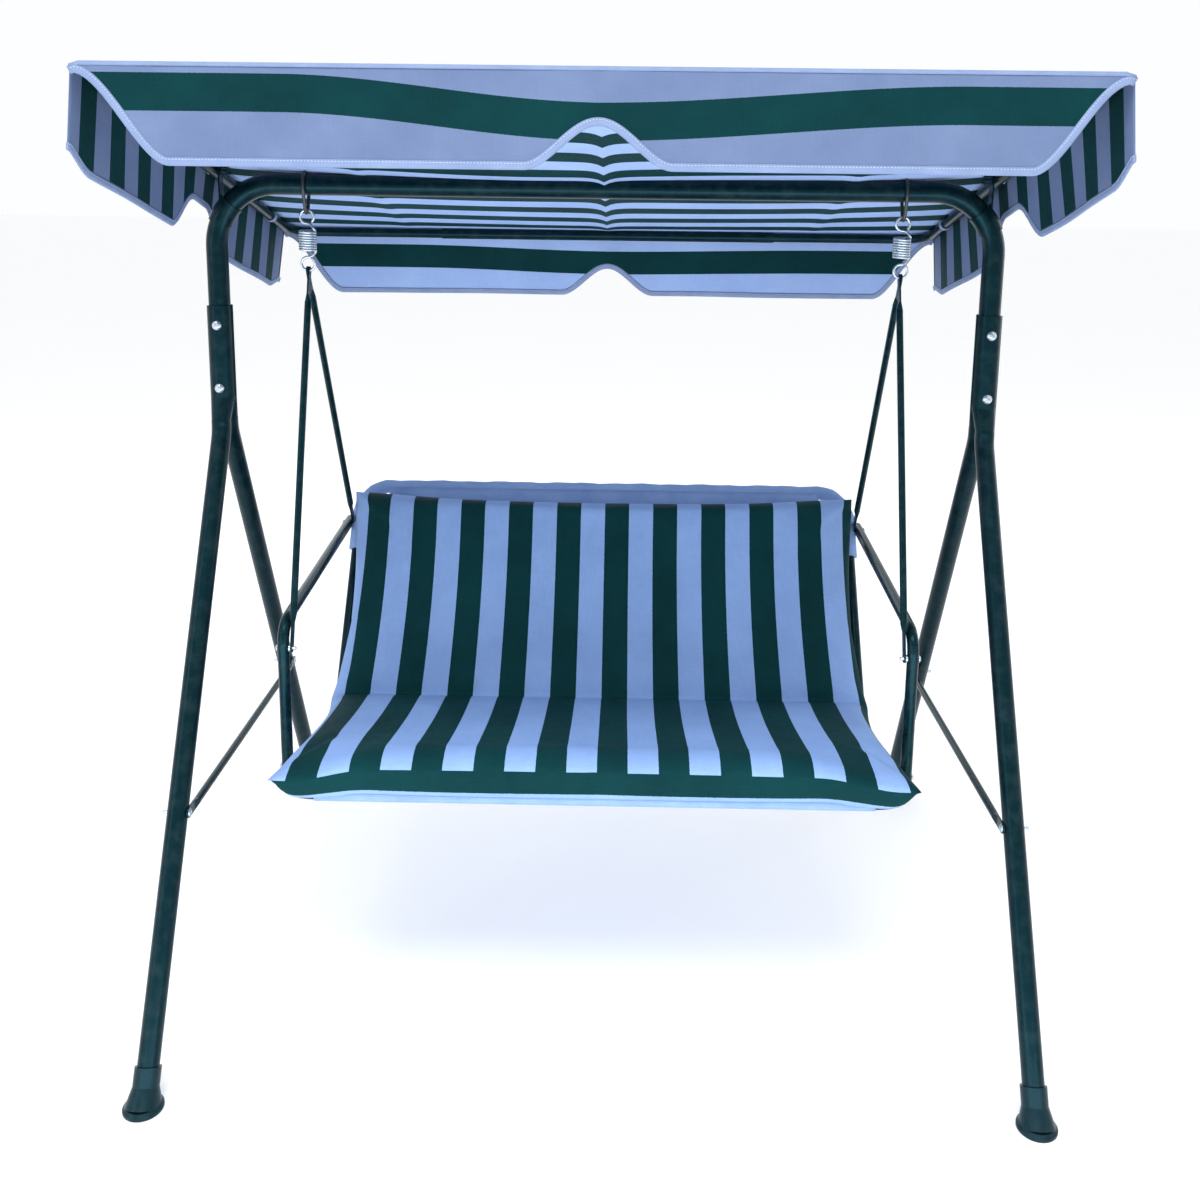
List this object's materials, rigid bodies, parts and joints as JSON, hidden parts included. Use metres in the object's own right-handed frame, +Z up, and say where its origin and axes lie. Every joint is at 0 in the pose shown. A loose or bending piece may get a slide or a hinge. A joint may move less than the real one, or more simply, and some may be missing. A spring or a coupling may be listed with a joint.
{
  "type": "glider swing",
  "caption": "Garden swing seat hung by springs and rods in a tubular stand, with a folded bench cushion and a tilting striped canopy with scalloped valances.",
  "frame": {"origin": "on the ground in the middle of the four feet", "axes": "+Z up, -Y to the front that the seat faces, +X along the top bar to the viewer's right"},
  "size_m": [1.442, 1.122, 1.5762],
  "materials": {
    "green_enamel": "glossy dark green enamel",
    "zinc": "bright zinc plate",
    "black_wire": "dark coated wire",
    "black_plastic": "dark moulded plastic",
    "cushion_cloth": "woven polyester in green and pale blue-white stripes",
    "canopy_cloth": "woven polyester in green and pale blue-white stripes",
    "sling_cloth": "plain pale woven polyester"
  },
  "bodies": {
    "stand": {"top_bar": "green_enamel", "front_leg_left": "green_enamel", "front_leg_right": "green_enamel", "rear_leg_left": "green_enamel", "rear_leg_right": "green_enamel", "foot_front_left": "black_plastic", "foot_front_right": "black_plastic", "foot_rear_left": "black_plastic", "foot_rear_right": "black_plastic", "leg_bolts": "zinc", "leg_nuts": "zinc", "side_brace_left": "green_enamel", "side_brace_right": "green_enamel", "brace_bolts": "zinc", "canopy_bracket_left": "green_enamel", "canopy_bracket_right": "green_enamel"},
    "hangers": {"hanger_loop_left": "black_wire", "hanger_loop_right": "black_wire", "spring_left": "zinc", "spring_right": "zinc"},
    "spring_ends": {"spring_hook_left": "zinc", "spring_hook_right": "zinc"},
    "seat": {"front_rod_left": "green_enamel", "front_rod_right": "green_enamel", "rear_rod_left": "green_enamel", "rear_rod_right": "green_enamel", "armrest_left": "green_enamel", "armrest_right": "green_enamel", "armrest_plugs": "black_plastic", "arm_bolts": "zinc", "arm_spacers": "zinc", "seat_side_left": "green_enamel", "seat_side_right": "green_enamel", "seat_front_rail": "green_enamel", "back_frame": "green_enamel", "frame_spigots": "zinc", "seat_cross_tubes": "green_enamel", "back_cross_tube": "green_enamel", "sling": "sling_cloth", "seat_cushion": "cushion_cloth", "back_cushion": "cushion_cloth"},
    "canopy": {"canopy_rail_left": "green_enamel", "canopy_rail_right": "green_enamel", "canopy_front_tube": "green_enamel", "canopy_rear_tube": "green_enamel", "canopy_ties": "canopy_cloth", "tilt_bolts": "zinc", "tilt_knobs": "black_plastic", "canopy_roof": "canopy_cloth", "valance_front": "canopy_cloth", "valance_rear": "canopy_cloth", "valance_left": "canopy_cloth", "valance_right": "canopy_cloth"}
  },
  "joints": [
    {"name": "hanger_swing", "type": "hinge", "parent": "stand", "child": "hangers", "pos_m": [0, 0, 1.41], "axis": [1, 0, 0], "range_deg": [-20, 20]},
    {"name": "spring_stretch", "type": "slide", "parent": "hangers", "child": "spring_ends", "axis": [0, 0, -1], "range_m": [0, 0.02], "stiffness_N_per_m": 60000, "springref_m": -0.01, "deforming": ["spring_left", "spring_right"]},
    {"name": "seat_rock", "type": "hinge", "parent": "spring_ends", "child": "seat", "pos_m": [0, 0, 1.2587], "axis": [1, 0, 0], "range_deg": [-12, 12]},
    {"name": "canopy_tilt", "type": "hinge", "parent": "stand", "child": "canopy", "pos_m": [0, 0, 1.432], "axis": [1, 0, 0], "range_deg": [-8, 30]}
  ]
}
